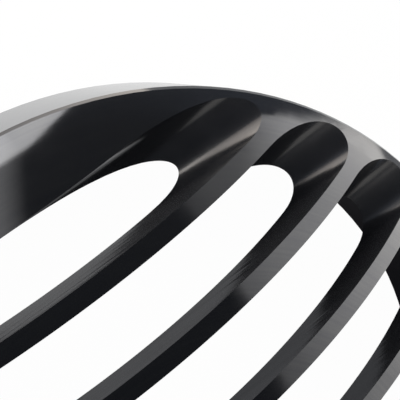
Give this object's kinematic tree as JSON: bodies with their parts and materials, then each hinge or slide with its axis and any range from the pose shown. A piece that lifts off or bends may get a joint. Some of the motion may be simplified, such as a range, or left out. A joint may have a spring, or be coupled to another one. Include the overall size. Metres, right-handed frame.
{
  "type": "headlight grille",
  "caption": "Domed round headlight guard machined from one aluminium piece, with parallel straight slots between thin curved bars and a plain skirt that slips over the lamp",
  "frame": {"origin": "centre of the back rim's flat face", "axes": "+Z points out of the front of the dome, +X runs along the slots, +Y runs across the slots"},
  "size_m": [0.168, 0.168, 0.0561],
  "materials": {
    "black_anodised_aluminium": "turned and milled, black anodised, satin"
  },
  "bodies": {
    "root": {"grille": "black_anodised_aluminium"}
  },
  "joints": []
}
